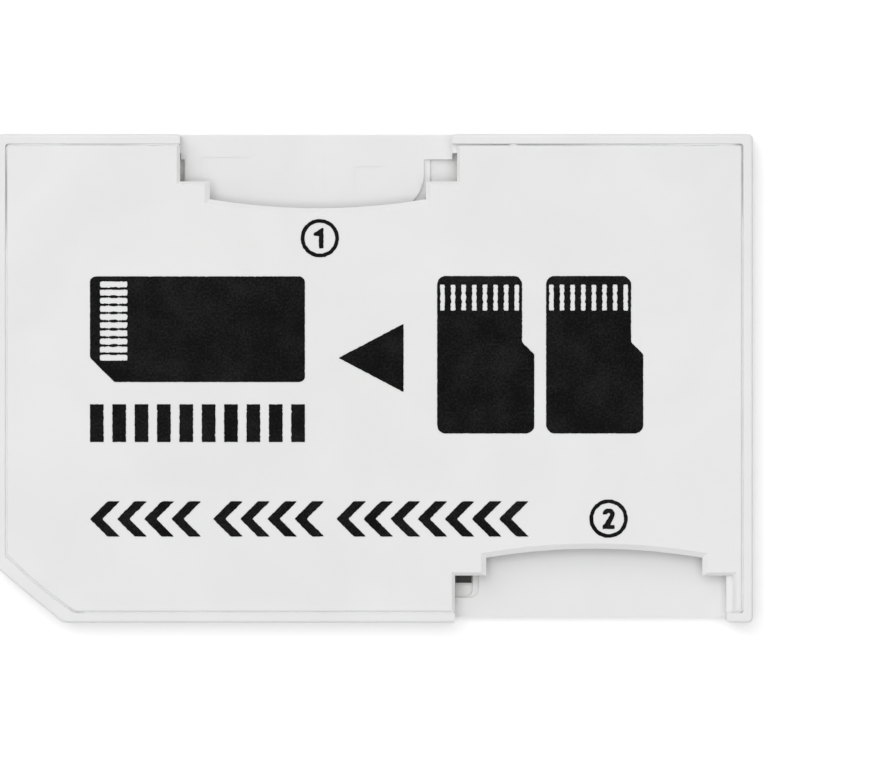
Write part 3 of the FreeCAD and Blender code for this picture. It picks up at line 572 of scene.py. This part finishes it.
class PrintSettings(PropertyGroup):
    """Ink on the cover"""
    ink: FloatVectorProperty(name="Ink", description="Colour of the ink",
                             default=linear("050505"), size=4, subtype="COLOR", min=0.0, max=1.0)
    ink_thin: FloatVectorProperty(name="Thin ink", description="Colour of the ink where it lies thin",
                                  default=linear("2A2A2A"), size=4, subtype="COLOR", min=0.0, max=1.0)
    circle_play: FloatProperty(name="Circle play",
                               description="Outlines that stray less from a circle are rings",
                               default=5 * um, min=0.0, unit="LENGTH", precision=6)
    ring_reach: FloatProperty(name="Ring reach", description="Points this near to a ring belong to it",
                              default=30 * um, min=0.0, unit="LENGTH", precision=6)
    outline_step: FloatProperty(name="Outline step",
                                description="Distance between points along the outlines",
                                default=0.05 * mm, min=0.01 * mm, unit="LENGTH", precision=6)
    corner_run: FloatProperty(name="Corner run", description="How far the ink ran round its corners",
                              default=0.5, min=0.0, max=1.0, subtype="FACTOR")
    ragged_size: FloatProperty(name="Ragged size",
                               description="Length of the waves along the edge of the ink",
                               default=0.11 * mm, min=0.01 * mm, unit="LENGTH", precision=6)
    ragged_depth: FloatProperty(name="Ragged depth", description="How far the edge of the ink strays",
                                default=18 * um, min=0.0, unit="LENGTH", precision=6)
    speck_size: FloatProperty(name="Speck size", description="Size of the paler specks in the ink",
                              default=90 * um, min=10 * um, unit="LENGTH", precision=6)
    coverage_size: FloatProperty(name="Coverage size", description="Size of the patches with less ink",
                                 default=1.1 * mm, min=0.1 * mm, unit="LENGTH")


class StageSettings(PropertyGroup):
    """Camera, lights and floor"""
    view_width: FloatProperty(name="View width", description="Width of the picture at the cover",
                              default=35.94 * mm, min=1 * mm, unit="LENGTH")
    view_centre_x: FloatProperty(name="View centre X",
                                 description="Place of the picture's middle along the adapter",
                                 default=2.648 * mm, unit="LENGTH")
    view_centre_y: FloatProperty(name="View centre Y",
                                 description="Place of the picture's middle across the adapter",
                                 default=-0.514 * mm, unit="LENGTH")
    lens: FloatProperty(name="Lens", description="Focal length of the camera in millimetres",
                        default=300.0, min=50.0, unit="CAMERA")
    light_distance: FloatProperty(name="Light distance",
                                  description="From the adapter to the soft lights",
                                  default=0.6, min=0.1, unit="LENGTH")
    light_size: FloatProperty(name="Light size", description="Width of the soft lights",
                              default=0.5, min=0.01, unit="LENGTH")
    key_azimuth: FloatProperty(name="Key azimuth",
                               description="Direction of the soft light, from +X towards +Y",
                               default=math.radians(125), subtype="ANGLE")
    key_elevation: FloatProperty(name="Key elevation",
                                 description="Height of the soft light over the floor",
                                 default=math.radians(50), subtype="ANGLE")
    key_power: FloatProperty(name="Key power", description="Power of the light at the upper left",
                             default=0.945, min=0.0, unit="POWER")
    top_power: FloatProperty(name="Top power", description="Power of the light overhead",
                             default=2.0, min=0.0, unit="POWER")
    sky_strength: FloatProperty(name="Sky strength", description="Strength of the even light all round",
                                default=0.36, min=0.0)
    floor_lift: FloatProperty(name="Floor lift",
                              description="Light added to the floor's look to the camera",
                              default=0.12, min=0.0)
    floor_size: FloatProperty(name="Floor size", description="Length of the floor's sides",
                              default=0.4, min=0.1, unit="LENGTH")


# Operators

class ADAPTER_OT_finish_mouldings(Operator):
    """Gives the base shell and the top cover their moulded plastic"""
    bl_idname = "adapter.finish_mouldings"
    bl_label = "Finish Mouldings"

    def execute(self, context):
        dress(("base_shell", "top_cover"), moulded_abs(context.scene.adapter_moulding))
        return {"FINISHED"}


class ADAPTER_OT_weld_seam(Operator):
    """Lays the flash of the weld into the seam between cover and rim"""
    bl_idname = "adapter.weld_seam"
    bl_label = "Weld Seam"

    def execute(self, context):
        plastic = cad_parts["base_shell"].material_slots[0].material
        weld_flash(context.scene.adapter_weld, plastic)
        return {"FINISHED"}


class ADAPTER_OT_finish_board(Operator):
    """Gives the board, the combs, the chip and the small soldered parts their materials"""
    bl_idname = "adapter.finish_board"
    bl_label = "Finish Board"

    def execute(self, context):
        settings = context.scene.adapter_board
        dress(["circuit_board"], solder_mask(settings))
        dress(["slot_1_comb", "slot_2_comb"], glass_filled_lcp(settings))
        dress(["controller_chip"], chip_epoxy(settings))
        fired = tinned_ceramic("barium_titanate_fired_tinned_caps", "capacitor_1", settings,
                               top="8E6C4A", side="8E6C4A")
        dress([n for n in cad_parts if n.startswith("capacitor_")], fired)
        glazed = tinned_ceramic("alumina_black_glazed_tinned_caps", "resistor_1", settings,
                                top="121212", side="E4E2DC")
        dress([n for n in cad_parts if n.startswith("resistor_")], glazed)
        return {"FINISHED"}


class ADAPTER_OT_plate_contacts(Operator):
    """Plates the host contacts and the springs of both slots"""
    bl_idname = "adapter.plate_contacts"
    bl_label = "Plate Contacts"

    def execute(self, context):
        settings = context.scene.adapter_contacts
        dress([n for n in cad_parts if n.startswith("host_contact_")], hard_gold(settings))
        dress([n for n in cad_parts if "_spring_" in n], plated_bronze(settings))
        return {"FINISHED"}


class ADAPTER_OT_print_labels(Operator):
    """Prints the numbers, cards, ticks, triangle and chevrons in screen ink"""
    bl_idname = "adapter.print_labels"
    bl_label = "Print Labels"

    def execute(self, context):
        settings = context.scene.adapter_print
        material = screen_ink(settings)
        noise.seed_set(ink_seed)
        for node in sorted(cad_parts):
            if node.endswith("_print"):
                print_piece(node, settings, material)
        return {"FINISHED"}


class ADAPTER_OT_build_stage(Operator):
    """Lays the floor, hangs the lights and sets the camera straight above"""
    bl_idname = "adapter.build_stage"
    bl_label = "Build Stage"

    def soft_light(self, name, power, azimuth, elevation, settings):
        """Square soft light that faces the adapter."""
        data = bpy.data.lights.new(name, "AREA")
        data.size = settings.light_size
        data.energy = power
        light = bpy.data.objects.new(name, data)
        bpy.context.scene.collection.objects.link(light)
        flat = math.cos(elevation)
        towards = Vector((flat * math.cos(azimuth), flat * math.sin(azimuth), math.sin(elevation)))
        light.location = towards * settings.light_distance
        light.rotation_euler = towards.to_track_quat("Z", "Y").to_euler()
        light.visible_camera = False
        return light

    def seen(self, tree):
        """Value of 1 for what the camera sees, straight or in a reflection or through something clear."""
        path = add(tree, "LightPath", {}).outputs
        mirrored = add(tree, "Math", {0: path["Is Glossy Ray"], 1: path["Is Transmission Ray"]},
                       operation="MAXIMUM").outputs["Value"]
        return add(tree, "Math", {0: path["Is Camera Ray"], 1: mirrored},
                   operation="MAXIMUM").outputs["Value"]

    def execute(self, context):
        settings = context.scene.adapter_stage
        scene = context.scene
        scene.view_settings.view_transform = "Standard"

        # The floor is plain and pale. To the camera and in reflections it looks white, with lifted shadows
        bm = bmesh.new()
        bmesh.ops.create_grid(bm, x_segments=1, y_segments=1, size=settings.floor_size / 2)
        mesh = bpy.data.meshes.new("floor")
        bm.to_mesh(mesh)
        bm.free()
        floor = bpy.data.objects.new("floor", mesh)
        scene.collection.objects.link(floor)
        material, tree, _ = new_material("floor_paper_matt")
        seen = self.seen(tree)
        colour = add(tree, "Mix", {"Factor": seen, "A": linear("E0E0E0"), "B": linear("FFFFFF")},
                     data_type="RGBA").outputs["Result"]
        paper = add(tree, "BsdfDiffuse", {"Color": colour}).outputs["BSDF"]
        lift = add(tree, "Math", {0: seen, 1: settings.floor_lift}, operation="MULTIPLY").outputs["Value"]
        glow = add(tree, "Emission", {"Color": linear("FFFFFF"), "Strength": lift}).outputs["Emission"]
        close_material(tree, add(tree, "AddShader", {0: paper, 1: glow}).outputs["Shader"])
        mesh.materials.append(material)

        world = bpy.data.worlds.new("studio")
        world.use_nodes = True
        tree = world.node_tree
        tree.nodes.clear()
        # Past the floor the studio looks white too, but lights the adapter no more than the settings say
        strength = add(tree, "Mix", {"Factor": self.seen(tree), "A": settings.sky_strength,
                                     "B": 1.0}).outputs["Result"]
        sky = add(tree, "Background", {"Color": linear("FFFFFF"), "Strength": strength})
        add(tree, "OutputWorld", {"Surface": sky.outputs["Background"]})
        scene.world = world

        # The key comes from the upper left. The top light is cross-polarised, so that no glare of it shows
        self.soft_light("key", settings.key_power, settings.key_azimuth, settings.key_elevation, settings)
        top = self.soft_light("top", settings.top_power, 0.0, math.radians(90), settings)
        top.visible_glossy = False

        camera_data = bpy.data.cameras.new("camera")
        camera_data.lens = settings.lens
        camera_data.clip_start = 1 * mm
        camera_data.clip_end = 10.0
        camera = bpy.data.objects.new("camera", camera_data)
        scene.collection.objects.link(camera)
        distance = settings.view_width * settings.lens / camera_data.sensor_width
        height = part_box("top_cover")[1].z + distance
        camera.location = (settings.view_centre_x, settings.view_centre_y, height)
        scene.camera = camera
        return {"FINISHED"}


class ADAPTER_PT_looks(Panel):
    """Lists the steps that finish the adapter"""
    bl_label = "Card Adapter"
    bl_idname = "ADAPTER_PT_looks"
    bl_space_type = "VIEW_3D"
    bl_region_type = "UI"
    bl_category = "Adapter"

    def draw(self, context):
        for operator in operators:
            self.layout.operator(operator.bl_idname)


operators = (ADAPTER_OT_finish_mouldings, ADAPTER_OT_weld_seam, ADAPTER_OT_finish_board,
             ADAPTER_OT_plate_contacts, ADAPTER_OT_print_labels, ADAPTER_OT_build_stage)
settings_groups = {"adapter_moulding": MouldingSettings, "adapter_weld": WeldSettings,
                   "adapter_board": BoardSettings, "adapter_contacts": ContactSettings,
                   "adapter_print": PrintSettings, "adapter_stage": StageSettings}


def register():
    for group in settings_groups.values():
        bpy.utils.register_class(group)
    for name, group in settings_groups.items():
        setattr(bpy.types.Scene, name, PointerProperty(type=group))
    for operator in operators:
        bpy.utils.register_class(operator)
    bpy.utils.register_class(ADAPTER_PT_looks)


def unregister():
    bpy.utils.unregister_class(ADAPTER_PT_looks)
    for operator in reversed(operators):
        bpy.utils.unregister_class(operator)
    for name, group in settings_groups.items():
        delattr(bpy.types.Scene, name)
        bpy.utils.unregister_class(group)


def main():
    register()
    bpy.ops.adapter.finish_mouldings()
    bpy.ops.adapter.weld_seam()
    bpy.ops.adapter.finish_board()
    bpy.ops.adapter.plate_contacts()
    bpy.ops.adapter.print_labels()
    bpy.ops.adapter.build_stage()


if __name__ == "__main__":
    main()
